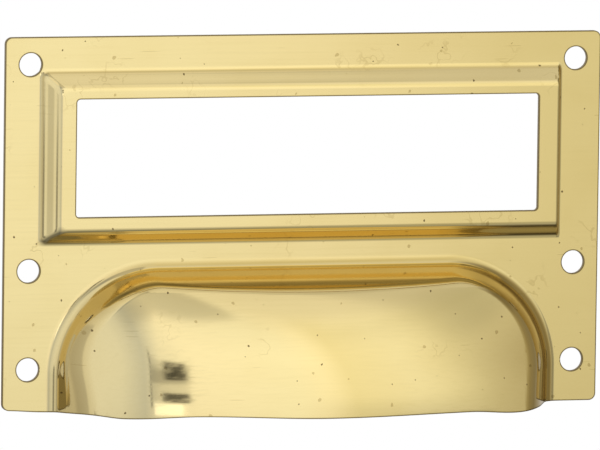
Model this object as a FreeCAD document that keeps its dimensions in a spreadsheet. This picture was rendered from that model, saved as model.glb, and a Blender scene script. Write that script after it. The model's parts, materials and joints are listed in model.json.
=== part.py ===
import FreeCAD, Part
import Sketcher
import os

# A label frame pull: one brass sheet pressed between a die and a punch, then pierced and trimmed.
# The die's skin is the front of the sheet and the punch's skin is its back,
# so the pressed sheet is what stays when the punch form is cut from the die form.
# Sketch frame: X across, Z up from the plate's lower edge, front toward -Y, back of the plate on Y = 0.

# Millimetres and degrees; bend radii are those on the inside of the bend
DRIVING_SIZES = {
    "sheet_thickness": 0.8,
    "plate_width": 104.8,
    "plate_height": 63.5,
    "plate_corner_radius": 1.2,
    # Screw holes: insets from the plate's edges, and the middle pair's drop below the top of the hood
    "hole_diameter": 3.95,
    "hole_side_inset": 4.4,
    "hole_bottom_inset": 7.1,
    "hole_top_inset": 4.65,
    "middle_hole_drop": 0.25,
    # Frame: flat strips of plate round it, its sloping wall, and the rim between that wall and the window
    "frame_side_strip": 6.65,
    "frame_top_strip": 6.05,
    "frame_over_hood": 4.6,
    "frame_left_shift": 0.4,
    "frame_rise": 4.5,
    "frame_run": 1.7,
    "frame_crest_bend": 0.3,
    "frame_foot_bend": 0.8,
    "rim_side": 3.4,
    "rim_top": 2.45,
    "rim_bottom": 2.9,
    "window_corner_radius": 0.6,
    # Hood: flat strip of plate beside it, its drafted wall, and its front from the lip up to the shoulder
    "hood_side_strip": 8.9,
    "hood_height": 24.1,
    "hood_corner_radius": 18.0,
    "hood_draft": 24.0,
    "hood_projection": 17.5,
    "hood_lip_fall": 8.5,
    "hood_shoulder_rise": 8.0,
    "hood_shoulder_fall": 4.3,
    "hood_profile_radius": 36.0,
    "hood_crest_bend": 3.6,
    "hood_foot_bend": 1.4,
    # How far the press blocks run behind the sheet and past its edges, all of it cut away
    "block_backing": 4.0,
    "block_overrun": 5.0,
}

doc = FreeCAD.newDocument("label_frame_pull")


def write_sheet():
    """Put the driving sizes in a spreadsheet, one alias to a cell."""
    sheet = doc.addObject("Spreadsheet::Sheet", "Sizes")
    for row, (alias, size) in enumerate(DRIVING_SIZES.items(), start=1):
        sheet.set(f"A{row}", alias)
        sheet.set(f"B{row}", str(size))
        sheet.setAlias(f"B{row}", alias)
    doc.recompute()
    return sheet


sizes = write_sheet()


def value(expression):
    """Number that an expression on the sheet's cells has now."""
    result = sizes.evalExpression(expression)
    return float(getattr(result, "Value", result))


# Sketch helpers

def new_sketch(body, name, role, offset="0", across="0"):
    """Sketch on one of the body's own origin planes, set off along that plane's normal and across it."""
    sketch = body.newObject("Sketcher::SketchObject", name)
    plane = next(feature for feature in body.Origin.OriginFeatures if feature.Role == role)
    sketch.AttachmentSupport = [(plane, "")]
    sketch.MapMode = "FlatFace"
    sketch.setExpression("AttachmentOffset.Base.z", offset)
    sketch.setExpression("AttachmentOffset.Base.x", across)
    return sketch


def point(x, y):
    return FreeCAD.Vector(x, y, 0)


def add_line(sketch, start, end):
    return sketch.addGeometry(Part.LineSegment(point(*start), point(*end)), False)


def constrain(sketch, kind, *where):
    return sketch.addConstraint(Sketcher.Constraint(kind, *where))


def dimension(sketch, name, kind, *where, to):
    """Add a named dimension to a sketch and tie it to an expression on the sheet."""
    index = constrain(sketch, kind, *where, value(to))
    sketch.renameConstraint(index, name)
    sketch.setExpression(f"Constraints.{name}", to)


def add_corner(sketch, before, after, centre, radius, start_angle):
    """Quarter round between two lines, tangent to both."""
    quarter = FreeCAD.Units.Quantity("90 deg").getValueAs("rad").Value
    start = FreeCAD.Units.Quantity(f"{start_angle} deg").getValueAs("rad").Value
    circle = Part.Circle(point(*centre), FreeCAD.Vector(0, 0, 1), radius)
    arc = sketch.addGeometry(Part.ArcOfCircle(circle, start, start + quarter), False)
    constrain(sketch, "Tangent", before, 2, arc, 1)
    constrain(sketch, "Tangent", arc, 2, after, 1)
    return arc


def add_outline(sketch, half_width, low, high, radius, square_base=False):
    """Box outline centred across the sketch, with round corners or a square base, tied to the sheet."""
    a, b, c, r = (value(size) for size in (half_width, low, high, radius))
    base = 0 if square_base else r
    bottom = add_line(sketch, (-a + base, b), (a - base, b))
    right = add_line(sketch, (a, b + base), (a, c - r))
    top = add_line(sketch, (a - r, c), (-a + r, c))
    left = add_line(sketch, (-a, c - r), (-a, b + base))
    arcs = [
        add_corner(sketch, right, top, (a - r, c - r), r, 0),
        add_corner(sketch, top, left, (-a + r, c - r), r, 90),
    ]
    if square_base:
        constrain(sketch, "Coincident", left, 2, bottom, 1)
        constrain(sketch, "Coincident", bottom, 2, right, 1)
    else:
        arcs.append(add_corner(sketch, left, bottom, (-a + r, b + r), r, 180))
        arcs.append(add_corner(sketch, bottom, right, (a - r, b + r), r, 270))
    for arc in arcs[1:]:
        constrain(sketch, "Equal", arcs[0], arc)
    constrain(sketch, "Horizontal", top)
    constrain(sketch, "Vertical", right)
    constrain(sketch, "Vertical", left)
    constrain(sketch, "Symmetric", bottom, 1, bottom, 2, -2)
    dimension(sketch, "half_width", "DistanceX", -1, 1, right, 1, to=half_width)
    dimension(sketch, "low", "DistanceY", -1, 1, bottom, 1, to=low)
    dimension(sketch, "high", "DistanceY", -1, 1, top, 1, to=high)
    dimension(sketch, "corner_radius", "Radius", arcs[0], to=radius)


def add_polygon(sketch, corners):
    """Closed chain of lines through the corners."""
    lines = [add_line(sketch, start, end) for start, end in zip(corners, corners[1:] + corners[:1])]
    for line, following in zip(lines, lines[1:] + lines[:1]):
        constrain(sketch, "Coincident", line, 2, following, 1)
    return lines


def add_rectangle(sketch, half_width, low, high):
    """Square-cornered box outline centred across the sketch, tied to the sheet."""
    a, b, c = (value(size) for size in (half_width, low, high))
    bottom, right, top, left = add_polygon(sketch, [(-a, b), (a, b), (a, c), (-a, c)])
    constrain(sketch, "Horizontal", top)
    constrain(sketch, "Vertical", right)
    constrain(sketch, "Vertical", left)
    constrain(sketch, "Symmetric", bottom, 1, bottom, 2, -2)
    dimension(sketch, "half_width", "DistanceX", -1, 1, right, 1, to=half_width)
    dimension(sketch, "low", "DistanceY", -1, 1, bottom, 1, to=low)
    dimension(sketch, "high", "DistanceY", -1, 1, top, 1, to=high)


# Feature helpers

def add_pad(body, name, sketch, length, taper="0 deg"):
    """Pad toward the front that narrows by the taper angle."""
    pad = body.newObject("PartDesign::Pad", name)
    pad.Profile = sketch
    pad.setExpression("Length", length)
    pad.setExpression("TaperAngle", f"-({taper})")
    doc.recompute()
    return pad


def add_through_pocket(body, name, sketch):
    """Cut the sketch's region through the sheet both ways."""
    pocket = body.newObject("PartDesign::Pocket", name)
    pocket.Profile = sketch
    pocket.Midplane = True
    pocket.Type = "ThroughAll"
    doc.recompute()
    return pocket


def add_loft_cut(body, name, sketches):
    """Cut away the region that runs through the sketches."""
    doc.recompute()
    loft = body.newObject("PartDesign::SubtractiveLoft", name)
    loft.Profile = sketches[0]
    loft.Sections = sketches[1:]
    doc.recompute()
    return loft


def add_draft(body, name, angle, wall, still):
    """Slope the walls that one test picks about the face that the other test picks."""
    base = body.Tip
    faces = [(f"Face{i}", face) for i, face in enumerate(base.Shape.Faces, start=1)]
    draft = body.newObject("PartDesign::Draft", name)
    draft.Base = (base, [label for label, face in faces if wall(face)])
    draft.NeutralPlane = (base, [label for label, face in faces if still(face)])
    doc.recompute()
    draft.Reversed = True
    draft.setExpression("Angle", angle)
    doc.recompute()
    return draft


def middle_of(edge):
    return edge.valueAt((edge.FirstParameter + edge.LastParameter) / 2)


def add_fillet(body, name, radius, chosen):
    """Round the edges of the body's last feature that the test picks."""
    base = body.Tip
    names = [f"Edge{i}" for i, edge in enumerate(base.Shape.Edges, start=1) if chosen(edge)]
    fillet = body.newObject("PartDesign::Fillet", name)
    fillet.Base = (base, names)
    fillet.setExpression("Radius", radius)
    doc.recompute()
    return fillet


# Sizes that several features share, worked out from the sheet

HOOD_DRAFT = "(Sizes.hood_draft * 1 deg)"
FRAME_ACROSS = "-Sizes.frame_left_shift"
FRAME_DRAFT = "atan(Sizes.frame_run / Sizes.frame_rise)"
FRAME_HALF_WIDTH = "(Sizes.plate_width / 2 - Sizes.frame_side_strip)"
FRAME_LOW = "(Sizes.hood_height + Sizes.frame_over_hood)"
FRAME_HIGH = "(Sizes.plate_height - Sizes.frame_top_strip)"
WINDOW_HALF_WIDTH = f"({FRAME_HALF_WIDTH} - Sizes.frame_run - Sizes.rim_side)"
WINDOW_LOW = f"({FRAME_LOW} + Sizes.frame_run + Sizes.rim_bottom)"
WINDOW_HIGH = f"({FRAME_HIGH} - Sizes.frame_run - Sizes.rim_top)"
HOOD_HALF_WIDTH = "(Sizes.plate_width / 2 - Sizes.hood_side_strip)"
HOLE_SIDE = "(Sizes.plate_width / 2 - Sizes.hole_side_inset)"
HOLE_ROWS = {
    "bottom_row": "Sizes.hole_bottom_inset",
    "middle_row": "(Sizes.hood_height - Sizes.middle_hole_drop)",
    "top_row": "(Sizes.plate_height - Sizes.hole_top_inset)",
}
PATTERN_HEIGHT = f"({HOLE_ROWS['bottom_row']} + {HOLE_ROWS['top_row']}) / 2"
BELOW = "-(Sizes.block_overrun + Sizes.block_backing)"
CLEAR_ABOVE = "(Sizes.hood_height + Sizes.block_overrun)"
CLEAR_IN_FRONT = "(2 * Sizes.hood_projection)"
BOSS_RISE = "(Sizes.hood_projection + Sizes.block_backing)"

# Where the hood's front meets the wall above it, and how far it stands out in the middle and at the ends
SHOULDER_HEIGHT = f"(Sizes.hood_height - Sizes.hood_shoulder_rise * tan({HOOD_DRAFT}))"
SHOULDER_DEPTH = "(Sizes.sheet_thickness + Sizes.hood_shoulder_rise)"
END_SHOULDER_DEPTH = f"({SHOULDER_DEPTH} - Sizes.hood_shoulder_fall)"
END_PROJECTION = "(Sizes.hood_projection - Sizes.hood_lip_fall)"

ON_PLANE = 1e-4


def narrowed(set_back, draft):
    """How far a drafted wall's foot moves in when its skin and its ground both move back."""
    return f"{set_back} * tan(45 deg - ({draft}) / 2)"


def profile_centre(projection, shoulder):
    """Centre of the profile arc that runs from the lip, at this projection, to this depth at the shoulder."""
    out = f"({projection} - {shoulder})"
    chord = f"sqrt({out} ^ 2 + {SHOULDER_HEIGHT} ^ 2)"
    to_centre = f"sqrt(Sizes.hood_profile_radius ^ 2 - ({chord} / 2) ^ 2)"
    depth = f"({to_centre} * {SHOULDER_HEIGHT} / {chord} - ({projection} + {shoulder}) / 2)"
    height = f"({SHOULDER_HEIGHT} / 2 - {to_centre} * {out} / {chord})"
    return depth, height


def add_front_profile(body, name, place, projection, shoulder, set_back):
    """Sketch across the hood at one place: the region in front of the profile arc there."""
    sketch = new_sketch(body, name, "YZ_Plane", place)
    depth, height = profile_centre(projection, shoulder)
    radius = f"(Sizes.hood_profile_radius - {set_back})"
    y, z, r, low, high, far = (value(size) for size in (depth, height, radius, BELOW, CLEAR_ABOVE,
                                                        f"-{CLEAR_IN_FRONT}"))
    upper = (y - (r ** 2 - (high - z) ** 2) ** 0.5, high)
    lower = (y - (r ** 2 - (low - z) ** 2) ** 0.5, low)
    arc = sketch.addGeometry(Part.Arc(point(*upper), point(y - r, z), point(*lower)), False)
    bottom = add_line(sketch, lower, (far, low))
    outer = add_line(sketch, (far, low), (far, high))
    top = add_line(sketch, (far, high), upper)
    for piece, following in ((arc, bottom), (bottom, outer), (outer, top), (top, arc)):
        constrain(sketch, "Coincident", piece, 2, following, 1)
    constrain(sketch, "Horizontal", bottom)
    constrain(sketch, "Vertical", outer)
    constrain(sketch, "Horizontal", top)
    dimension(sketch, "radius", "Radius", arc, to=radius)
    dimension(sketch, "centre_depth", "DistanceX", -1, 1, arc, 3, to=depth)
    dimension(sketch, "centre_height", "DistanceY", -1, 1, arc, 3, to=height)
    dimension(sketch, "low", "DistanceY", -1, 1, bottom, 1, to=BELOW)
    dimension(sketch, "high", "DistanceY", -1, 1, top, 1, to=CLEAR_ABOVE)
    dimension(sketch, "front", "DistanceX", outer, 1, -1, 1, to=CLEAR_IN_FRONT)
    return sketch


def build_hood(body, set_back):
    """Tapered boss on the outline of the hood's foot, with a crowned front."""
    ground = f"Sizes.sheet_thickness - {set_back}"
    shift = narrowed(set_back, HOOD_DRAFT)
    outline = new_sketch(body, f"{body.Name}_hood_outline", "XZ_Plane", ground)
    add_outline(outline, f"{HOOD_HALF_WIDTH} - {shift}", BELOW, f"Sizes.hood_height - {shift}",
                f"Sizes.hood_corner_radius - {shift}", square_base=True)
    add_pad(body, f"{body.Name}_hood", outline, BOSS_RISE, HOOD_DRAFT)

    # The front is crowned: it falls back from its middle to its ends, more at the lip than at the shoulder
    half = f"({HOOD_HALF_WIDTH} + Sizes.hood_foot_bend)"
    middle = ("Sizes.hood_projection", SHOULDER_DEPTH)
    end = (END_PROJECTION, END_SHOULDER_DEPTH)
    profiles = [
        add_front_profile(body, f"{body.Name}_left_profile", f"-{half}", *end, set_back),
        add_front_profile(body, f"{body.Name}_middle_profile", "0", *middle, set_back),
        add_front_profile(body, f"{body.Name}_right_profile", half, *end, set_back),
    ]
    add_loft_cut(body, f"{body.Name}_hood_front", profiles)

    wall_foot = -value(ground)
    base_side = value(BELOW) / 2

    def on_crest(edge):
        stands_off = all(vertex.Y < wall_foot - ON_PLANE for vertex in edge.Vertexes)
        return stands_off and middle_of(edge).z > base_side

    bend = f"Sizes.hood_crest_bend + Sizes.sheet_thickness - {set_back}"
    add_fillet(body, f"{body.Name}_hood_crest", bend, on_crest)


def build_frame(body, set_back):
    """Drafted boss round the window, with mitred corners."""
    ground = f"Sizes.sheet_thickness - {set_back}"
    shift = narrowed(set_back, FRAME_DRAFT)
    outline = new_sketch(body, f"{body.Name}_frame_outline", "XZ_Plane", ground, FRAME_ACROSS)
    add_rectangle(outline, f"{FRAME_HALF_WIDTH} - {shift}", f"{FRAME_LOW} + {shift}",
                  f"{FRAME_HIGH} - {shift}")
    add_pad(body, f"{body.Name}_frame", outline, "Sizes.frame_rise")
    wall_foot = -value(ground)
    crest = wall_foot - value("Sizes.frame_rise")
    hood_top = value("Sizes.hood_height")

    def rises_full(shape):
        box = shape.BoundBox
        full = abs(box.YMin - crest) < ON_PLANE and abs(box.YMax - wall_foot) < ON_PLANE
        return full and box.ZMin > hood_top

    def is_ground(face):
        box = face.BoundBox
        return abs(box.YMin - wall_foot) < ON_PLANE and box.YLength < ON_PLANE and box.ZMax > hood_top

    def on_crest_or_mitre(edge):
        on_crest = abs(middle_of(edge).y - crest) < ON_PLANE and edge.BoundBox.ZMin > hood_top
        return on_crest or rises_full(edge)

    add_draft(body, f"{body.Name}_frame_walls", FRAME_DRAFT, rises_full, is_ground)
    bend = f"Sizes.frame_crest_bend + Sizes.sheet_thickness - {set_back}"
    add_fillet(body, f"{body.Name}_frame_crest", bend, on_crest_or_mitre)


def build_press_form(name, set_back, past_edge):
    """Solid block whose front skin lies set_back behind the front of the sheet."""
    body = doc.addObject("PartDesign::Body", name)
    build_hood(body, set_back)

    ground = f"Sizes.sheet_thickness - {set_back}"
    block = new_sketch(body, f"{name}_block_outline", "XZ_Plane", "-Sizes.block_backing")
    add_rectangle(block, f"Sizes.plate_width / 2 + {past_edge}", "-Sizes.block_overrun",
                  f"Sizes.plate_height + {past_edge}")
    add_pad(body, f"{name}_block", block, f"Sizes.block_backing + {ground}")
    build_frame(body, set_back)

    # The feet of the frame and the hood bend the other way
    plane = -value(ground)
    between = value(f"(Sizes.hood_height + {FRAME_LOW}) / 2")
    side, bottom, top = (value(size) for size in ("Sizes.plate_width / 2", "-Sizes.block_overrun",
                                                  "Sizes.plate_height"))

    def on_ground(edge):
        middle = middle_of(edge)
        inside = abs(middle.x) < side - ON_PLANE and bottom + ON_PLANE < middle.z < top - ON_PLANE
        return inside and abs(middle.y - plane) < ON_PLANE

    add_fillet(body, f"{name}_frame_foot", f"Sizes.frame_foot_bend + {set_back}",
               lambda edge: on_ground(edge) and middle_of(edge).z > between)
    add_fillet(body, f"{name}_hood_foot", f"Sizes.hood_foot_bend + {set_back}",
               lambda edge: on_ground(edge) and middle_of(edge).z < between)
    return body


def press_sheet():
    """Cut the punch form from the die form."""
    sheet = build_press_form("pressed_sheet", "0", "0")
    punch = build_press_form("punch", "Sizes.sheet_thickness", "Sizes.block_overrun")
    press = sheet.newObject("PartDesign::Boolean", "press")
    press.Type = "Cut"
    press.addObjects([punch])
    doc.recompute()
    return sheet


def trim_and_pierce(sheet):
    """Trim the lower edge level, pierce the window and the screw holes, and round the plate's corners."""
    trim = new_sketch(sheet, "lower_trim_outline", "XZ_Plane")
    add_rectangle(trim, "Sizes.plate_width / 2 + Sizes.block_overrun", f"2 * {BELOW}", "0")
    add_through_pocket(sheet, "lower_trim", trim)

    window = new_sketch(sheet, "window_outline", "XZ_Plane", across=FRAME_ACROSS)
    add_outline(window, WINDOW_HALF_WIDTH, WINDOW_LOW, WINDOW_HIGH, "Sizes.window_corner_radius")
    add_through_pocket(sheet, "window", window)

    centres = new_sketch(sheet, "hole_centres", "XZ_Plane", "Sizes.sheet_thickness")
    radius = value("Sizes.hole_diameter / 2")
    for row, height in HOLE_ROWS.items():
        centre = point(-value(HOLE_SIDE), value(height))
        circle = centres.addGeometry(Part.Circle(centre, FreeCAD.Vector(0, 0, 1), radius), False)
        dimension(centres, f"{row}_side", "DistanceX", circle, 3, -1, 1, to=HOLE_SIDE)
        dimension(centres, f"{row}_height", "DistanceY", -1, 1, circle, 3, to=height)
        dimension(centres, f"{row}_radius", "Radius", circle, to="Sizes.hole_diameter / 2")
    doc.recompute()
    holes = sheet.newObject("PartDesign::Hole", "left_holes")
    holes.Profile = centres
    holes.setExpression("Diameter", "Sizes.hole_diameter")
    holes.DepthType = "ThroughAll"
    holes.DrillPoint = "Flat"
    doc.recompute()
    mirrored = sheet.newObject("PartDesign::Mirrored", "right_holes")
    mirrored.Originals = [holes]
    mirrored.MirrorPlane = (centres, ["V_Axis"])
    sheet.Tip = mirrored
    doc.recompute()

    half = value("Sizes.plate_width / 2")

    def at_corner(edge):
        box = edge.BoundBox
        across = max(box.XLength, box.ZLength) < ON_PLANE
        return across and abs(abs(middle_of(edge).x) - half) < ON_PLANE

    add_fillet(sheet, "plate_corners", "Sizes.plate_corner_radius", at_corner)


def main():
    sheet = press_sheet()
    trim_and_pierce(sheet)
    sheet.Label = "label_frame_pull"
    sheet.setExpression("Placement.Base.z", f"-{PATTERN_HEIGHT}")
    doc.recompute()
    for item in doc.Objects:
        if "Invalid" in item.State or "Error" in item.State:
            raise RuntimeError(f"{item.Name}: {item.State}")
    if sheet.Shape.isNull() or not sheet.Shape.isValid() or len(sheet.Shape.Solids) != 1:
        raise RuntimeError("the pressed sheet is not one valid solid")
    os.makedirs("parts", exist_ok=True)
    sheet.Shape.exportStep(f"parts/{sheet.Label}.step")


main()
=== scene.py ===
import json
import math

import bmesh
import bpy
import numpy as np
from mathutils import Matrix, Vector
from mathutils.geometry import delaunay_2d_cdt


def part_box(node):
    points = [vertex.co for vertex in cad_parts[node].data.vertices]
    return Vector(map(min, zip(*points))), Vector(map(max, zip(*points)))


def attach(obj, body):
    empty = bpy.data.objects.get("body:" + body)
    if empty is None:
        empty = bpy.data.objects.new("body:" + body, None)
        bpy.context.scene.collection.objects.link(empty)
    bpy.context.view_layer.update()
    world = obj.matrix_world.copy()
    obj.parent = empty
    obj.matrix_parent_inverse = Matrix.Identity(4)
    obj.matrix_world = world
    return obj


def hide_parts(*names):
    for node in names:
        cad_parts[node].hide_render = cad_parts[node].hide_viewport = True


bl_info = {
    "name": "Brass Label Frame Pull",
    "version": (1, 0, 0),
    "blender": (4, 5, 0),
    "location": "View3D > Sidebar > Label Pull",
    "description": "Pressed brass drawer pull with a label frame and a finger hood, in a small studio",
    "category": "Object",
}

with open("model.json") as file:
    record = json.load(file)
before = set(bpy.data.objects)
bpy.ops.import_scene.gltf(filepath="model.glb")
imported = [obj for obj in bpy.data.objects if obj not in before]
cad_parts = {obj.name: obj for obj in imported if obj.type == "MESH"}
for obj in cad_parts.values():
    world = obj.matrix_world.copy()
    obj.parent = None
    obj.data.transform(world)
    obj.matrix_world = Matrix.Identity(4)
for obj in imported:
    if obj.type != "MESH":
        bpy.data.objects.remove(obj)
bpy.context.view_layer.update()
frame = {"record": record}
NODE = "label_frame_pull"
LOW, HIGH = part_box(NODE)
MM = 0.001


def mount(name):
    """One of the pull's mounts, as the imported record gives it."""
    return next(item for item in frame["record"]["mounts"] if item["name"] == name)


# Settings that a user would change

def length(name, description, default):
    return bpy.props.FloatProperty(name=name, description=description, default=default, min=0.0,
                                   unit="LENGTH", precision=5)


def degrees(name, description, default):
    return bpy.props.FloatProperty(name=name, description=description, default=math.radians(default),
                                   subtype="ANGLE")


def amount(name, description, default, high=1.0):
    return bpy.props.FloatProperty(name=name, description=description, default=default, min=0.0, max=high)


def colour(name, description, default):
    return bpy.props.FloatVectorProperty(name=name, description=description, default=default, size=3,
                                         subtype="COLOR", min=0.0, max=1.0)


class PullSizes(bpy.types.PropertyGroup):
    """Sizes of the pressed sheet; bend radii are those of the front skin."""
    thickness: length("Thickness", "Thickness of the brass sheet", 0.8 * MM)
    corner_radius: length("Plate corners", "Radius of the plate's corners", 1.2 * MM)
    window_left: length("Window left", "From the plate's left side to the window", 11.83 * MM)
    window_right: length("Window right", "From the plate's right side to the window", 11.67 * MM)
    window_top: length("Window top", "From the plate's upper edge to the window", 10.38 * MM)
    window_bottom: length("Window bottom", "From the plate's lower edge to the window", 33.12 * MM)
    window_corner: length("Window corners", "Radius of the window's corners", 0.6 * MM)
    frame_left: length("Frame left", "From the plate's left side to the frame's foot", 6.5 * MM)
    frame_right: length("Frame right", "From the plate's right side to the frame's foot", 7.3 * MM)
    frame_top: length("Frame top", "From the plate's upper edge to the frame's foot", 6.05 * MM)
    frame_bottom: length("Frame bottom", "From the plate's lower edge to the frame's foot", 28.7 * MM)
    frame_rise: length("Frame rise", "Height of the rim over the plate", 2.8 * MM)
    run_left: length("Left run", "Width of the frame's left wall", 2.3 * MM)
    run_right: length("Right run", "Width of the frame's right wall", 0.6 * MM)
    run_top: length("Top run", "Width of the frame's upper wall", 2.3 * MM)
    run_bottom: length("Bottom run", "Width of the frame's lower wall", 1.8 * MM)
    frame_softness: amount("Frame softness", "Rounding of the frame's bends, as a part of its wall", 0.35)
    mitre_softness: amount("Mitre softness", "Rounding of its corners, as a part of its wall", 0.5)
    hood_side: length("Hood side", "From the plate's side to the hood's foot", 8.9 * MM)
    hood_height: length("Hood height", "From the plate's lower edge to the hood's upper foot", 24.1 * MM)
    hood_corner: length("Hood corners", "Radius of the hood's two round corners", 18.0 * MM)
    hood_draft: degrees("Hood draft", "Slope of the hood's walls", 24.0)
    hood_foot: length("Hood foot", "Bend radius between the plate and the hood's wall", 2.4 * MM)
    # Painted shade in a dark line along the feet of the hood and the frame
    shade_line_out: length("Shaded line", "How far out from the hood's foot its line of grime runs", 0.6 * MM)
    shade_line_width: length("Shaded width", "Width to each side of the line of grime", 0.5 * MM)
    frame_shade_line: amount("Frame grime", "Width of the frame's line of grime, as a part of its wall", 0.09)
    lip_fall: length("Lip fall", "How far the lip's ends lie behind its middle", 8.5 * MM)
    shoulder_rise: length("Shoulder rise", "Height over the plate where its front begins", 8.0 * MM)
    shoulder_fall: length("Shoulder fall", "How far the shoulder's ends lie behind its middle", 4.3 * MM)
    profile_radius: length("Profile radius", "Radius of the hood's front from lip to shoulder", 36.0 * MM)
    wall_margin: length("Wall margin", "How far in past its crest the close mesh runs", 2.0 * MM)
    crest_blend_top: length("Top crest", "Reach of the crest's rounding at the top", 0.8 * MM)
    crest_blend_right: length("Right crest", "Reach of the crest's rounding at the right end", 4.5 * MM)
    crest_blend_left: length("Left crest", "Reach of the crest's rounding at the worn left end", 3.5 * MM)
    crown_level: length("Crown level", "Height up to which the crown stays as at the lip", 8.0 * MM)
    cheek_fall: length("Cheek fall", "How much further back the worn left end of the lip lies", 5.0 * MM)
    cheek_start: length("Cheek start", "From the middle to where the worn left end begins", 28.0 * MM)
    wave_reach: length("Wave reach", "How far up from the lower edge its wave fades out", 7.0 * MM)


class BrassFinish(bpy.types.PropertyGroup):
    """Colours and wear of the brass, and the shade painted on it."""
    clean: colour("Clean brass", "Colour of the bright metal", (0.90, 0.74, 0.37))
    worn: colour("Worn brass", "Colour where the metal has dulled", (0.80, 0.63, 0.27))
    pit: colour("Pits", "Colour in the small pits", (0.24, 0.17, 0.07))
    # The stain colour is also the colour of the painted shade on the hood's walls and along the feet
    stain_and_shade: colour("Stains", "Colour of the small brown stains", (0.42, 0.30, 0.10))
    edge: colour("Cut edges", "Colour of the cut edges", (0.22, 0.16, 0.06))
    gloss_roughness: amount("Roughness", "Roughness of the polished metal", 0.06)
    brushed_roughness: amount("Brushed roughness", "Roughness in the brushed streaks", 0.11)
    curl_depth: amount("Curled scratches", "How far the fine curled scratches have darkened", 0.24)
    # Painted shade: how far the hood's steep walls and the lines along the feet are darkened towards the
    # stain colour
    painted_shade: amount("Shading", "How far the hood's walls and the lines of grime have darkened", 0.58)
    edge_roughness: amount("Edge roughness", "Roughness of the cut edges", 0.4)
    streak_depth: length("Streak depth", "Depth of the brushing", 0.0002 * MM)


class StudioSettings(bpy.types.PropertyGroup):
    """Camera and light."""
    yaw: degrees("Camera yaw", "How far the camera stands round to the left", 15.832)
    pitch: degrees("Camera pitch", "How far the camera looks down", 6.0)
    roll: degrees("Camera roll", "How far the camera leans", 0.75)
    distance: length("Camera distance", "From the camera to the pull", 2001.3 * MM)
    lens: amount("Lens", "Focal length of the camera in millimetres", 705.97, 5000.0)
    sensor: amount("Sensor", "Width of the camera's sensor in millimetres", 36.0, 100.0)
    tent_radius: length("Tent radius", "From the pull to the light tent round it", 600 * MM)


# The front skin of the sheet, as its depth in front of the back of the plate

def arc_drop(radius, across):
    """How far a circle falls away at a distance across from its top."""
    return radius - np.sqrt(np.maximum(radius ** 2 - across ** 2, 0.0))


def foot_bend(inset, slope, radius):
    """Rise of a wall over its foot, with a round bend out of the flat."""
    reach = radius * math.tan(math.atan(slope) / 2)
    bend_end = reach * math.cos(math.atan(slope))
    bend = arc_drop(radius, inset + reach)
    return np.where(inset < -reach, 0.0, np.where(inset < bend_end, bend, inset * slope))


def smooth_min(a, b, blend):
    """The lesser of two surfaces, with the edge between them rounded."""
    near = np.maximum(blend - np.abs(a - b), 0.0)
    return np.minimum(a, b) - near ** 2 / (4 * blend)


# Hand trimming left the lower edge wavy: places across and the lift of the edge there, in millimetres
EDGE_WAVE = ((-52.4, 0.18), (-44.5, -0.17), (-39.3, 0.2), (-34.0, -0.2), (-21.0, 0.28), (1.0, -0.22),
             (26.0, 0.07), (34.8, -0.43), (40.0, -0.1), (46.0, 0.0), (52.4, 0.0))


def edge_lift(across):
    """Lift of the lower edge, eased from each place of the wave to the next."""
    places, lifts = (np.array(column) * MM for column in zip(*EDGE_WAVE))
    part = np.interp(across, places, np.arange(len(places)))
    before = np.minimum(part.astype(int), len(places) - 2)
    ease = 0.5 - 0.5 * np.cos(math.pi * (part - before))
    return lifts[before] + (lifts[before + 1] - lifts[before]) * ease


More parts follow.
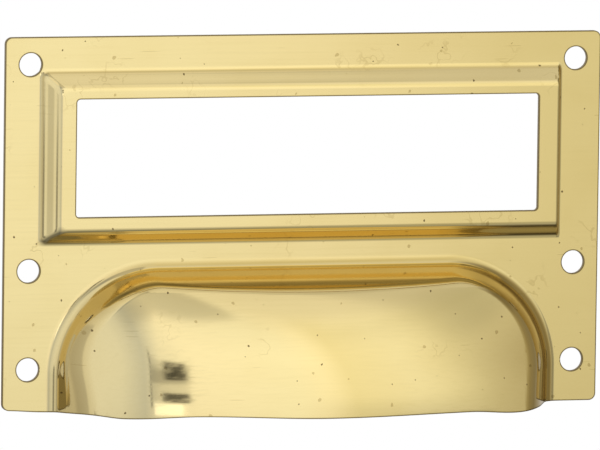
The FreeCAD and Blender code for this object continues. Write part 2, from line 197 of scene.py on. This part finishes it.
class PressedSheet:
    """Front skin over the plate's plane: across from the middle and up from the lower edge."""

    def __init__(self, sizes):
        self.sizes = sizes
        self.half_width = (HIGH.x - LOW.x) / 2
        self.height = HIGH.z - LOW.z
        self.window = (sizes.window_left - self.half_width, self.half_width - sizes.window_right,
                       sizes.window_bottom, self.height - sizes.window_top)
        self.frame = (sizes.frame_left - self.half_width, self.half_width - sizes.frame_right,
                      sizes.frame_bottom, self.height - sizes.frame_top)
        self.hood_half = self.half_width - sizes.hood_side

    def frame_part(self, across, up):
        """How far up the label frame's walls, from nothing at their foot to one at the rim."""
        sizes = self.sizes
        left, right, low, high = self.frame
        side = np.minimum((across - left) / sizes.run_left, (right - across) / sizes.run_right)
        level = np.minimum((up - low) / sizes.run_bottom, (high - up) / sizes.run_top)
        return smooth_min(side, level, sizes.mitre_softness)

    def frame_rise(self, across, up):
        """Rise of the label frame over the plate."""
        sizes = self.sizes
        part = self.frame_part(across, up)
        over_plate = -smooth_min(-part, 0.0, sizes.frame_softness)
        return sizes.frame_rise * smooth_min(over_plate, 1.0, sizes.frame_softness)

    def worn_end(self, across):
        """How far along the worn left cheek of the hood, from its start to the hood's end."""
        start, end = self.sizes.cheek_start, self.hood_half + self.sizes.hood_foot
        return np.maximum(-across - start, 0.0) / (end - start)

    def hood_front(self, across, up):
        """Depth of the hood's crowned front."""
        sizes = self.sizes
        end = self.hood_half + sizes.hood_foot
        fall = sizes.lip_fall * (across / end) ** 2 + sizes.cheek_fall * self.worn_end(across) ** 2
        shoulder = sizes.thickness + sizes.shoulder_rise
        shoulder_up = sizes.hood_height - sizes.shoulder_rise * math.tan(sizes.hood_draft)
        out = -LOW.y - shoulder
        chord = math.hypot(out, shoulder_up)
        to_centre = math.sqrt(sizes.profile_radius ** 2 - (chord / 2) ** 2)
        centre_depth = to_centre * shoulder_up / chord - (shoulder - LOW.y) / 2
        centre_up = shoulder_up / 2 - to_centre * out / chord
        squares = sizes.profile_radius ** 2 - (up - centre_up) ** 2
        profile = np.sqrt(np.maximum(squares, 0.0)) - centre_depth
        near_shoulder = np.clip((up - sizes.crown_level) / (shoulder_up - sizes.crown_level), 0.0, 1.0)
        flatter = (1 - sizes.shoulder_fall / sizes.lip_fall) * near_shoulder ** 2
        return profile - fall * (1 - flatter)

    def hood_corner(self, across, up):
        """Distances across and up past the centre of the hood's nearer corner."""
        radius = self.sizes.hood_corner
        return radius - self.hood_half + np.abs(across), radius - self.sizes.hood_height + up

    def hood_inset(self, across, up):
        """How far in from the outline of the hood's foot."""
        side, top = self.hood_corner(across, up)
        corner = np.hypot(np.maximum(side, 0.0), np.maximum(top, 0.0))
        return self.sizes.hood_corner - np.where(corner > 0, corner, np.maximum(side, top))

    def hood_depth(self, across, up):
        """Depth of the hood: its drafted wall, cut by the crowned front."""
        sizes = self.sizes
        side, top = (np.maximum(part, 0.0) for part in self.hood_corner(across, up))
        inset = self.hood_inset(across, up)
        sideways = side / np.maximum(np.hypot(side, top), MM * MM)
        wall = sizes.thickness + foot_bend(inset, 1 / math.tan(sizes.hood_draft), sizes.hood_foot)
        blend_side = np.where(across < 0, sizes.crest_blend_left, sizes.crest_blend_right)
        blend = sizes.crest_blend_top + (blend_side - sizes.crest_blend_top) * sideways ** 2
        over_foot = np.maximum(wall - sizes.thickness, MM * MM)
        return smooth_min(wall, self.hood_front(across, up), np.minimum(blend, over_foot))

    def skin(self, across, up):
        """Points of the front skin in the pull's frame."""
        frame_depth = self.sizes.thickness + self.frame_rise(across, up)
        depth = np.maximum(frame_depth, self.hood_depth(across, up))
        fade = np.maximum(1 - up / self.sizes.wave_reach, 0.0) ** 2
        return np.stack([across, -depth, up + edge_lift(across) * fade + LOW.z], axis=-1)

    def skin_normals(self, across, up):
        """Directions that the front skin faces."""
        step = 0.01 * MM
        along = self.skin(across + step, up) - self.skin(across - step, up)
        upward = self.skin(across, up + step) - self.skin(across, up - step)
        normals = np.cross(along, upward)
        return normals / np.linalg.norm(normals, axis=-1, keepdims=True)


# The plate's contours and the lattice of points between them

# Spacing of the mesh's points on plain metal, on bends and along cut edges
COARSE, FINE, BORDER = 0.42 * MM, 0.16 * MM, 0.28 * MM
# Where the hood's rings begin over the lower edge, in coarse steps
RING_START = 0.75
# Triangulation in millimetres, of what lies inside the outer contour
INSIDE_OUTLINE, TOLERANCE = 1, 1e-6


def rounded_box(left, right, low, high, radius, spacing, segments=8):
    """Points round a box with round corners, evenly spaced on its straight sides."""
    points = []
    centres = [(right - radius, low + radius), (right - radius, high - radius),
               (left + radius, high - radius), (left + radius, low + radius)]
    for turn, (centre, following) in enumerate(zip(centres, centres[1:] + centres[:1])):
        start = math.pi / 2 * (turn - 1)
        for part in range(segments):
            angle = start + math.pi / 2 * part / segments
            points.append((centre[0] + radius * math.cos(angle), centre[1] + radius * math.sin(angle)))
        run = Vector(following) - Vector(centre)
        turned = start + math.pi / 2
        corner = Vector(centre) + radius * Vector((math.cos(turned), math.sin(turned)))
        count = max(1, round(run.length / spacing))
        points += [tuple(corner + run * part / count) for part in range(count)]
    return points


def circle(centre, radius, segments=48):
    turns = [2 * math.pi * part / segments for part in range(segments)]
    return [(centre[0] + radius * math.cos(turn), centre[1] + radius * math.sin(turn)) for turn in turns]


def grown(box, by):
    """Box with each of its sides moved out."""
    left, right, low, high = box
    return left - by, right + by, low - by, high + by


def hole_circles(wider=0.0):
    """Contours of the screw holes that the two screw patterns give, or wider rings round them."""
    circles = []
    for name in ("corner_screws", "middle_screws"):
        pattern = mount(name)
        dims = pattern["dims"]
        centre_up = pattern["pos_m"][2] - LOW.z
        rise = dims.get("spacing_y_mm", 0.0) * MM / 2
        for side in (-1, 1):
            for up in sorted({centre_up - rise, centre_up + rise}):
                centre = (side * dims["spacing_x_mm"] * MM / 2, up)
                circles.append(circle(centre, dims["hole_r_mm"] * MM + wider))
    return circles


def lattice_lines(low, high, bands):
    """Places of lattice lines from low to high, close together within the bands."""
    edges = sorted({low, high, *(edge for band in bands for edge in band)})
    lines = []
    for start, stop in zip(edges, edges[1:]):
        spacing = FINE if any(first <= start < last for first, last in bands) else COARSE
        count = max(1, round((stop - start) / spacing))
        lines.append(start + (stop - start) * np.arange(count) / count)
    return np.concatenate(lines)


def hood_rings(sheet, first, last):
    """Places on lines that follow the hood's outline, from one inset to another."""
    sizes = sheet.sizes
    centre_across, centre_up = sheet.hood_half - sizes.hood_corner, sizes.hood_height - sizes.hood_corner
    insets = np.linspace(first, last, round((last - first) / FINE))[:, None]
    ups = np.arange(RING_START, centre_up / COARSE)[None, :] * COARSE
    turns = np.linspace(0.0, math.pi / 2, round(sizes.hood_corner * math.pi / 2 / COARSE))[None, :]
    acrosses = np.linspace(-centre_across, centre_across, round(2 * centre_across / COARSE))[None, 1:-1]
    radii = sizes.hood_corner - insets
    places = [np.broadcast_arrays(acrosses, sizes.hood_height - insets)]
    for side in (-1, 1):
        places.append(np.broadcast_arrays(side * (sheet.hood_half - insets), ups))
        places.append((side * (centre_across + radii * np.cos(turns)), centre_up + radii * np.sin(turns)))
    return np.concatenate([np.stack(place, axis=-1).reshape(-1, 2) for place in places])


def inside(points, contour):
    """Which of the points lie inside a closed contour."""
    result = np.zeros(len(points), bool)
    for (x0, y0), (x1, y1) in zip(contour, contour[1:] + contour[:1]):
        if y0 == y1:
            continue
        crosses = (points[:, 1] < y0) != (points[:, 1] < y1)
        result ^= crosses & (points[:, 0] < x0 + (points[:, 1] - y0) * (x1 - x0) / (y1 - y0))
    return result


def near(points, contour, reach):
    """Which of the points lie closer than the reach to a closed contour's points."""
    contour = np.array(contour)
    result = np.zeros(len(points), bool)
    for place in contour:
        result |= ((points - place) ** 2).sum(axis=1) < reach ** 2
    return result


def frame_lattice(sheet):
    """Lattice over the whole plate, close together on the frame's walls."""
    sizes = sheet.sizes
    left, right, low, high = sheet.frame
    reach = 0.5 * sizes.frame_softness
    columns = lattice_lines(-sheet.half_width, sheet.half_width, [
        (left - reach * sizes.run_left, left + (1 + reach) * sizes.run_left),
        (right - (1 + reach) * sizes.run_right, right + reach * sizes.run_right)])
    rows = lattice_lines(0.0, sheet.height, [
        (low - reach * sizes.run_bottom, low + (1 + reach) * sizes.run_bottom),
        (high - (1 + reach) * sizes.run_top, high + reach * sizes.run_top)])
    return np.stack(np.meshgrid(columns, rows), axis=-1).reshape(-1, 2)


def inner_places(sheet, rings):
    """Places between the cut edges' rings: lines along the hood's wall, and the lattice elsewhere."""
    sizes = sheet.sizes
    lattice = frame_lattice(sheet)
    kept = inside(lattice, rings[0])
    for ring in rings[1:]:
        kept &= ~inside(lattice, ring)
    for ring in rings:
        kept &= ~near(lattice, ring, COARSE / 2)
    wall_start = -sizes.hood_foot
    wall_end = sizes.shoulder_rise * math.tan(sizes.hood_draft) + sizes.wall_margin
    inset = sheet.hood_inset(*lattice.T)
    kept &= (inset < wall_start - FINE) | (inset > wall_end + FINE)
    lines = hood_rings(sheet, wall_start, wall_end)
    lines = lines[inside(lines, rings[0])]
    return [tuple(place) for place in (*lines, *lattice[kept])]


def triangulate(sheet):
    """Places in the plate's plane, the triangles between them, and which places lie on a cut edge."""
    sizes = sheet.sizes
    plate = (-sheet.half_width, sheet.half_width, 0.0, sheet.height)
    outer = rounded_box(*plate, sizes.corner_radius, COARSE)
    openings = [rounded_box(*sheet.window, sizes.window_corner, COARSE), *hole_circles()]
    rings = [rounded_box(*grown(plate, -BORDER), sizes.corner_radius - BORDER, COARSE),
             rounded_box(*grown(sheet.window, BORDER), sizes.window_corner + BORDER, COARSE),
             *hole_circles(BORDER)]
    places = []
    borders = []
    for contour in (outer, *openings):
        first = len(places)
        places += contour
        borders += [(first + i, first + (i + 1) % len(contour)) for i in range(len(contour))]
    on_cut = len(places)
    places += [place for ring in rings for place in ring]
    places += inner_places(sheet, rings)
    scale = 1 / MM
    scaled = [Vector(place) * scale for place in places]
    flat, _, triangles, sources, *_ = delaunay_2d_cdt(scaled, borders, [], INSIDE_OUTLINE, TOLERANCE)
    flat, triangles = np.array([tuple(place) for place in flat]) * MM, np.array(triangles)
    middles = flat[triangles].mean(axis=1)
    metal = np.ones(len(triangles), bool)
    for opening in openings:
        metal &= ~inside(middles, opening)
    cut = np.array([min(source, default=on_cut) < on_cut for source in sources])
    return flat, triangles[metal], cut


# Depth part of the skin's normal where a wall begins and where it is fully steep
FLAT_WALL, STEEP_WALL = -0.85, -0.5


def hood_walls(sheet, normals, across, up):
    """How steep the hood's walls are, from nothing on the plate and the front to one; this sets the shade
    painted on them.
    """
    steep = np.clip((normals[:, 1] - FLAT_WALL) / (STEEP_WALL - FLAT_WALL), 0.0, 1.0)
    steep[sheet.hood_inset(across, up) < -sheet.sizes.hood_foot] = 0.0
    return steep


def foot_shade_lines(sheet, across, up):
    """Lines of painted shade along the hood's foot, left off at its worn end, and along the frame's foot.
    """
    sizes = sheet.sizes
    hood = np.exp(-((sheet.hood_inset(across, up) + sizes.shade_line_out) / sizes.shade_line_width) ** 2)
    hood *= 1 - np.minimum(sheet.worn_end(across), 1.0)
    return np.maximum(hood, np.exp(-(sheet.frame_part(across, up) / sizes.frame_shade_line) ** 2))


def build_pull(sizes):
    """Mesh of the whole sheet: front skin, back skin and the cut edges between them."""
    sheet = PressedSheet(sizes)
    places, triangles, cut = triangulate(sheet)
    across, up = places[:, 0], places[:, 1]
    front = sheet.skin(across, up)
    normals = sheet.skin_normals(across, up)
    back = front - normals * sizes.thickness
    count = len(places)

    edges = {}
    for triangle in triangles:
        for start, end in zip(triangle, np.roll(triangle, -1)):
            edges[(start, end)] = True
    rims = [(start, end) for start, end in edges if (end, start) not in edges]
    walls = [(end, start, start + count, end + count) for start, end in rims]
    faces = [*triangles.tolist(), *(triangles[:, ::-1] + count).tolist(), *walls]
    mesh = bpy.data.meshes.new("pressed_pull")
    mesh.from_pydata(np.concatenate([front, back]).tolist(), [], faces)
    mesh.shade_smooth()

    vertex_normals = np.concatenate([normals, -normals])
    smooth = 2 * len(triangles)
    corners = [vertex_normals[corner] for face in faces[:smooth] for corner in face]
    for polygon in mesh.polygons[smooth:]:
        corners += [polygon.normal] * polygon.loop_total
    mesh.normals_split_custom_set([tuple(normal) for normal in corners])

    # Masks for the shader: the cut edges, and where shade is painted on the hood's steep walls and along
    # the feet
    masks = {"cut_edge": cut, "wall_shade": hood_walls(sheet, normals, across, up),
             "crease_shade": foot_shade_lines(sheet, across, up)}
    for name, mask in masks.items():
        attribute = mesh.attributes.new(name, "FLOAT", "POINT")
        attribute.data.foreach_set("value", np.tile(mask, 2).astype(np.float32))
    mesh.validate()
    return mesh


# Brass

def solid(shade):
    return (*shade, 1.0)


# How ragged the edges of spots are: turns of noise to a cell, and their shift as a part of the cell
RAGGED_TURNS, RAGGED_PART = 8, 0.1


class NodeTree:
    """Short calls for making a shader's nodes."""

    def __init__(self, tree):
        self.tree = tree
        tree.nodes.clear()

    def add(self, kind, inputs=None, **settings):
        node = self.tree.nodes.new(kind)
        for key, setting in settings.items():
            setattr(node, key, setting)
        for key, source in (inputs or {}).items():
            if isinstance(source, bpy.types.NodeSocket):
                self.tree.links.new(source, node.inputs[key])
            else:
                node.inputs[key].default_value = source
        return node

    def math(self, operation, first, second=0.0):
        return self.add("ShaderNodeMath", {0: first, 1: second}, operation=operation).outputs[0]

    def ramp(self, source, start, stop, low=0.0, high=1.0):
        """Smooth step from low to high while the source goes from start to stop."""
        inputs = {"Value": source, "From Min": start, "From Max": stop, "To Min": low, "To Max": high}
        return self.add("ShaderNodeMapRange", inputs, interpolation_type="SMOOTHSTEP").outputs[0]

    def between(self, source, low, high, edge):
        """One between two places and nothing beyond them, with edges of one width."""
        return self.math("MULTIPLY", self.ramp(source, low - edge / 2, low + edge / 2),
                         self.ramp(source, high + edge / 2, high - edge / 2))

    def mix(self, factor, first, second):
        return self.add("ShaderNodeMix", {0: factor, 6: first, 7: second}, data_type="RGBA").outputs[2]

    def stops(self, source, low, high, shades):
        """Colour of the source between named places, from a list of places and their shades."""
        inputs = {"Value": source, "From Min": low, "From Max": high}
        part = self.add("ShaderNodeMapRange", inputs).outputs[0]
        band = self.add("ShaderNodeValToRGB", {"Fac": part})
        marks = band.color_ramp.elements
        while len(marks) < len(shades):
            marks.new(1.0)
        for mark, (place, shade) in zip(marks, shades):
            mark.position = (place - low) / (high - low)
            mark.color = solid(shade)
        return band.outputs[0]

    def levels(self, source, low, high, marks):
        """Brightness of the source between named places."""
        return self.stops(source, low, high, [(place, (part, part, part)) for place, part in marks])

    def spots(self, coordinates, spacing, bare, size):
        """Mask of small ragged spots in the cells of a flat lattice, of which some part stays bare."""
        cell = spacing * MM
        inputs = {"Vector": coordinates, "Scale": RAGGED_TURNS / cell, "Detail": 2.0}
        ragged = self.add("ShaderNodeTexNoise", inputs).outputs["Color"]
        shift = self.add("ShaderNodeVectorMath", {0: ragged, 1: (RAGGED_PART * cell,) * 3},
                         operation="MULTIPLY").outputs[0]
        moved = self.add("ShaderNodeVectorMath", {0: coordinates, 1: shift}, operation="ADD").outputs[0]
        cells = self.add("ShaderNodeTexVoronoi", {"Vector": moved, "Scale": 1 / cell},
                         voronoi_dimensions="2D")
        chance = self.add("ShaderNodeSeparateColor", {"Color": cells.outputs["Color"]}).outputs[0]
        reach = self.ramp(chance, bare, 1.0, 0.0, size)
        return self.math("LESS_THAN", cells.outputs["Distance"], reach)

    def attribute(self, name):
        return self.add("ShaderNodeAttribute", attribute_name=name).outputs["Fac"]

    def noise(self, coordinates, stretch, detail=3.0):
        """Noise over coordinates that are scaled by the stretch, in turns to the millimetre."""
        scale = tuple(part / MM for part in stretch)
        mapped = self.add("ShaderNodeMapping", {"Vector": coordinates, "Scale": scale}).outputs[0]
        inputs = {"Vector": mapped, "Scale": 1.0, "Detail": detail}
        return self.add("ShaderNodeTexNoise", inputs).outputs[0]


# Noise in turns to the millimetre: brushing across, dull patches, curled scratches, and where those lie
BRUSHING, DULL_PATCHES = (0.05, 2.5, 2.5), (0.06, 0.06, 0.09)
CURLS, RUBBED_PLACES = (0.32, 0.32, 0.32), (0.1, 0.1, 0.1)
# How much the patches and the brushing dull the metal
PATCH_DULL, STREAK_DULL = 0.25, 0.09
# Spots: spacing in millimetres, part of the cells left bare, and largest size as a part of the spacing
PITS = (4.2, 0.66, 0.042)
STAINS = (6.5, 0.35, 0.05)
SCRATCHES = (1.6, 0.5, 0.045)
# How dark the stains and the straight scratches are, and the turn and stretch of the scratches
STAIN_DEPTH, SCRATCH_DEPTH = 0.5, 0.28
SCRATCH_TURN, SCRATCH_STRETCH = 0.07, 0.05
# Levels of the noise where each begins and where it is full
PATCH_LEVELS, STREAK_LEVELS = (0.4, 0.75), (0.4, 0.7)
BRUSHED_LEVELS, RUBBED_LEVELS = (0.35, 0.75), (0.6, 0.7)
# Distance from the noise's middle level where a curled scratch begins and where it is darkest
MIDDLE_LEVEL = 0.5
CURL_LEVELS = (0.022, 0.008)
# Part of the way to the cut edge where its dark colour begins and where it is full
CUT_LEVELS = (0.1, 0.7)
BUMP_STRENGTH = 0.25


def brass_marks(nodes, place, flat, finish):
    """Mask of stains, straight scratches and fine curled scratches."""
    stains = nodes.spots(flat, *STAINS)
    along = nodes.add("ShaderNodeMapping", {"Vector": flat, "Rotation": (0.0, 0.0, SCRATCH_TURN),
                                            "Scale": (SCRATCH_STRETCH, 1.0, 1.0)}).outputs[0]
    scratches = nodes.spots(along, *SCRATCHES)
    lines = nodes.math("ABSOLUTE", nodes.math("SUBTRACT", nodes.noise(place, CURLS, 2.0), MIDDLE_LEVEL))
    rubbed = nodes.ramp(nodes.noise(place, RUBBED_PLACES, 1.0), *RUBBED_LEVELS)
    curls = nodes.math("MULTIPLY", nodes.ramp(lines, *CURL_LEVELS), rubbed)
    marks = nodes.math("MAXIMUM", nodes.math("MULTIPLY", stains, STAIN_DEPTH),
                       nodes.math("MULTIPLY", scratches, SCRATCH_DEPTH))
    return nodes.math("MAXIMUM", marks, nodes.math("MULTIPLY", curls, finish.curl_depth))


def brass_material(finish):
    """Bright brass with faint brushing across, dull patches, painted shade on the hood's walls and along
    the feet, and small marks.
    """
    material = bpy.data.materials.new("pressed_brass")
    material.use_nodes = True
    nodes = NodeTree(material.node_tree)
    place = nodes.add("ShaderNodeTexCoord").outputs["Object"]
    x, _, z = nodes.add("ShaderNodeSeparateXYZ", {"Vector": place}).outputs
    flat = nodes.add("ShaderNodeCombineXYZ", {"X": x, "Y": z}).outputs[0]

    streaks = nodes.noise(place, BRUSHING, 4.0)
    patches = nodes.noise(place, DULL_PATCHES)
    dulled = nodes.math("ADD", nodes.ramp(patches, *PATCH_LEVELS, 0.0, PATCH_DULL),
                        nodes.ramp(streaks, *STREAK_LEVELS, 0.0, STREAK_DULL))
    metal = nodes.mix(dulled, solid(finish.clean), solid(finish.worn))
    metal = nodes.mix(brass_marks(nodes, place, flat, finish), metal, solid(finish.stain_and_shade))
    # Painted shade: the hood's steep walls and the lines along the feet of the hood and frame are
    # darkened towards the stain colour
    dark_places = nodes.math("MAXIMUM", nodes.attribute("wall_shade"), nodes.attribute("crease_shade"))
    metal = nodes.mix(nodes.math("MULTIPLY", dark_places, finish.painted_shade), metal, solid(finish.stain_and_shade))
    pits = nodes.spots(flat, *PITS)
    metal = nodes.mix(pits, metal, solid(finish.pit))

    bump = nodes.add("ShaderNodeBump", {"Height": nodes.math("SUBTRACT", streaks, pits),
                                        "Distance": finish.streak_depth, "Strength": BUMP_STRENGTH})
    brushed = nodes.ramp(streaks, *BRUSHED_LEVELS)
    polish = nodes.ramp(brushed, 0.0, 1.0, finish.gloss_roughness, finish.brushed_roughness)
    cut = nodes.ramp(nodes.attribute("cut_edge"), *CUT_LEVELS)
    shader = nodes.add("ShaderNodeBsdfPrincipled", {
        "Base Color": nodes.mix(cut, metal, solid(finish.edge)),
        "Metallic": 1.0,
        "Roughness": nodes.ramp(cut, 0.0, 1.0, polish, finish.edge_roughness),
        "Normal": bump.outputs[0],
    })
    nodes.add("ShaderNodeOutputMaterial", {"Surface": shader.outputs[0]})
    return material


# Studio

# The plate's lower middle as the camera sees it: across to the right, and up
SEEN_ACROSS, SEEN_UP = -0.114 * MM, -30.688 * MM
# Half the floor's side, how far it lies below the pull, and its colour
FLOOR_HALF, FLOOR_DROP = 0.25, 0.05
FLOOR_SHADE = (0.82, 0.81, 0.79)


def add_camera(studio):
    """Camera at the photograph's place, as it was found from the plate's edges and holes."""
    turn = (Matrix.Rotation(studio.roll, 3, "Y") @ Matrix.Rotation(studio.pitch, 3, "X")
            @ Matrix.Rotation(studio.yaw, 3, "Z"))
    seen = Vector((SEEN_ACROSS, studio.distance, SEEN_UP))
    eye = Vector((0, 0, LOW.z)) - turn.transposed() @ seen
    right, ahead, above = turn
    camera = bpy.data.objects.new("camera", bpy.data.cameras.new("camera"))
    camera.data.lens = studio.lens
    camera.data.sensor_width = studio.sensor
    axes = Matrix((right, above, -ahead)).transposed()
    camera.matrix_world = Matrix.Translation(eye) @ axes.to_4x4()
    bpy.context.collection.objects.link(camera)
    bpy.context.scene.camera = camera


def add_plane(name, corners):
    mesh = bpy.data.meshes.new(name)
    mesh.from_pydata(corners, [], [range(len(corners))])
    plane = bpy.data.objects.new(name, mesh)
    bpy.context.collection.objects.link(plane)
    return plane


def add_floor():
    """Pale floor below the pull."""
    half, low = FLOOR_HALF, LOW.z - FLOOR_DROP
    corners = [(-half, -half, low), (half, -half, low), (half, half, low), (-half, half, low)]
    floor = add_plane("floor", corners)
    material = bpy.data.materials.new("pale_floor")
    material.use_nodes = True
    nodes = NodeTree(material.node_tree)
    paper = nodes.add("ShaderNodeBsdfDiffuse", {"Color": solid(FLOOR_SHADE)})
    nodes.add("ShaderNodeOutputMaterial", {"Surface": paper.outputs[0]})
    floor.data.materials.append(material)
    floor.visible_glossy = False


# Light tent: its shades by degrees round to the right of the front
TENT_ROUND = ((-180, (0.80, 0.80, 0.80)), (-100, (0.84, 0.85, 0.86)), (-60, (0.80, 0.82, 0.86)),
              (-38, (0.75, 0.78, 0.84)), (-24, (0.58, 0.62, 0.72)), (-7, (1.0, 1.0, 1.0)),
              (11, (1.0, 1.02, 1.0)), (16, (0.95, 0.94, 0.88)), (21, (0.76, 0.74, 0.61)),
              (32, (0.76, 0.76, 0.70)), (44, (0.66, 0.65, 0.56)), (53, (0.50, 0.47, 0.38)),
              (62, (0.37, 0.33, 0.22)), (80, (0.28, 0.24, 0.15)), (110, (0.28, 0.25, 0.18)),
              (140, (0.60, 0.58, 0.55)), (180, (0.80, 0.80, 0.80)))
# How bright the tent is by degrees over the level of the pull
TENT_RISE = ((-90, 0.2), (-55, 0.25), (-34, 0.55), (-12, 0.85), (-6, 1.0),
             (5, 1.05), (32, 1.12), (58, 0.96), (75, 0.88), (90, 0.84))
# Degrees over which the tent closes overhead, and the cloth's own shade, which shows there
TENT_CLOSES = (42.0, 62.0)
TENT_TOP = (0.97, 0.96, 0.92)
# Patches of the tent: degrees left, right, low, high, width of the edge, and brightness
TENT_PATCHES = (
    (-19.2, -8.0, 8.0, 27.0, 0.8, 0.8),
    (-19.2, -8.0, 17.5, 25.0, 3.0, 0.65),
    (-20.4, -19.2, 4.0, 28.0, 0.6, 0.45),
    (-12.0, -8.2, 19.5, 27.0, 1.2, 0.16),
    (-12.8, -8.2, 7.5, 12.5, 1.2, 0.16),
    (-18.0, -9.5, 0.5, 6.5, 1.0, 1.6),
    (28.0, 46.0, -30.0, -2.0, 4.0, 0.5),
    (16.0, 42.0, 4.0, 52.0, 18.0, 1.22),
    (42.0, 110.0, 28.0, 75.0, 14.0, 0.78),
    (22.0, 70.0, -75.0, -40.0, 6.0, 1.6),
    (-70.0, -56.0, -30.0, -3.5, 3.0, 0.45),
    (-104.0, -84.0, -30.0, 30.0, 8.0, 0.74),
)
# A dim fold of the cloth over the front: its sides, its lower edge straight ahead and the width of its
# edges in degrees, how fast that lower edge climbs to the right, and the fold's brightness
FOLD_SIDES = (-32.0, 10.0)
FOLD_LOW, FOLD_EDGE = 46.0, 6.0
FOLD_LEAN = 0.6
FOLD_PART = 0.68


def tent_cloth():
    """Glowing cloth with the light and dark places that the brass mirrors."""
    material = bpy.data.materials.new("tent_cloth")
    material.use_nodes = True
    nodes = NodeTree(material.node_tree)
    place = nodes.add("ShaderNodeTexCoord").outputs["Object"]
    x, y, z = nodes.add("ShaderNodeSeparateXYZ", {"Vector": place}).outputs
    front = nodes.math("MULTIPLY", y, -1.0)
    round_right = nodes.math("DEGREES", nodes.math("ARCTAN2", x, front))
    squares = nodes.math("ADD", nodes.math("MULTIPLY", x, x), nodes.math("MULTIPLY", y, y))
    rise = nodes.math("DEGREES", nodes.math("ARCTAN2", z, nodes.math("SQRT", squares)))

    closed = nodes.ramp(rise, *TENT_CLOSES)
    shade = nodes.mix(closed, nodes.stops(round_right, -180, 180, TENT_ROUND), solid(TENT_TOP))
    brightness = nodes.levels(rise, -90, 90, TENT_RISE)
    leaning = nodes.math("SUBTRACT", rise, nodes.math("MULTIPLY", round_right, FOLD_LEAN))
    fold = nodes.math("MULTIPLY", nodes.between(round_right, *FOLD_SIDES, FOLD_EDGE),
                      nodes.ramp(leaning, FOLD_LOW - FOLD_EDGE / 2, FOLD_LOW + FOLD_EDGE / 2))
    parts = [(fold, FOLD_PART)]
    for left, right, low, high, edge, part in TENT_PATCHES:
        patch = nodes.math("MULTIPLY", nodes.between(round_right, left, right, edge),
                           nodes.between(rise, low, high, edge))
        parts.append((patch, part))
    for mask, part in parts:
        brightness = nodes.math("MULTIPLY", brightness, nodes.ramp(mask, 0.0, 1.0, 1.0, part))
    cloth = nodes.add("ShaderNodeEmission", {"Color": shade, "Strength": brightness})
    nodes.add("ShaderNodeOutputMaterial", {"Surface": cloth.outputs[0]})
    return material


def add_tent(studio):
    """Round light tent about the pull, which the camera doesn't see."""
    form = bmesh.new()
    bmesh.ops.create_uvsphere(form, u_segments=48, v_segments=24, radius=studio.tent_radius)
    mesh = bpy.data.meshes.new("light_tent")
    form.to_mesh(mesh)
    form.free()
    mesh.materials.append(tent_cloth())
    tent = bpy.data.objects.new("light_tent", mesh)
    bpy.context.collection.objects.link(tent)
    tent.visible_camera = False


def add_world():
    """White background, which the brass mirrors where nothing stands before it."""
    world = bpy.data.worlds.new("studio")
    world.use_nodes = True
    nodes = NodeTree(world.node_tree)
    rays = nodes.add("ShaderNodeLightPath").outputs
    shown = nodes.math("MAXIMUM", rays["Is Camera Ray"], rays["Is Glossy Ray"])
    shown = nodes.math("MAXIMUM", shown, rays["Is Transmission Ray"])
    dim, white = solid((0.8, 0.8, 0.8)), solid((1.0, 1.0, 1.0))
    shade = nodes.mix(shown, dim, white)
    background = nodes.add("ShaderNodeBackground", {"Color": shade, "Strength": 1.0})
    nodes.add("ShaderNodeOutputWorld", {"Surface": background.outputs[0]})
    bpy.context.scene.world = world


# Operators

class LABELPULL_OT_pull(bpy.types.Operator):
    """Build the pressed brass pull over its solid"""
    bl_idname = "label_pull.pull"
    bl_label = "Pressed Pull"

    def execute(self, context):
        scene = context.scene
        mesh = build_pull(scene.pull_sizes)
        mesh.materials.append(brass_material(scene.brass_finish))
        pull = bpy.data.objects.new("pressed_pull", mesh)
        context.collection.objects.link(pull)
        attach(pull, "root")
        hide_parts(NODE)
        return {"FINISHED"}


class LABELPULL_OT_stage(bpy.types.Operator):
    """Set the camera, the floor and the light"""
    bl_idname = "label_pull.stage"
    bl_label = "Studio"

    def execute(self, context):
        scene = context.scene
        scene.view_settings.view_transform = "Standard"
        add_camera(scene.pull_studio)
        add_floor()
        add_tent(scene.pull_studio)
        add_world()
        return {"FINISHED"}


class LABELPULL_PT_sidebar(bpy.types.Panel):
    """Buttons and settings for the label frame pull"""
    bl_idname = "LABELPULL_PT_sidebar"
    bl_label = "Label Pull"
    bl_space_type = "VIEW_3D"
    bl_region_type = "UI"
    bl_category = "Label Pull"

    def draw(self, context):
        for group in (context.scene.pull_sizes, context.scene.brass_finish, context.scene.pull_studio):
            box = self.layout.box()
            for name in group.__annotations__:
                box.prop(group, name)
        for operator in (LABELPULL_OT_pull, LABELPULL_OT_stage):
            self.layout.operator(operator.bl_idname)


CLASSES = (PullSizes, BrassFinish, StudioSettings,
           LABELPULL_OT_pull, LABELPULL_OT_stage, LABELPULL_PT_sidebar)
SETTINGS = {"pull_sizes": PullSizes, "brass_finish": BrassFinish, "pull_studio": StudioSettings}


def register():
    for cls in CLASSES:
        bpy.utils.register_class(cls)
    for name, group in SETTINGS.items():
        setattr(bpy.types.Scene, name, bpy.props.PointerProperty(type=group))


def unregister():
    for name in SETTINGS:
        delattr(bpy.types.Scene, name)
    for cls in reversed(CLASSES):
        bpy.utils.unregister_class(cls)


def main():
    register()
    bpy.ops.label_pull.pull()
    bpy.ops.label_pull.stage()


if __name__ == "__main__":
    main()
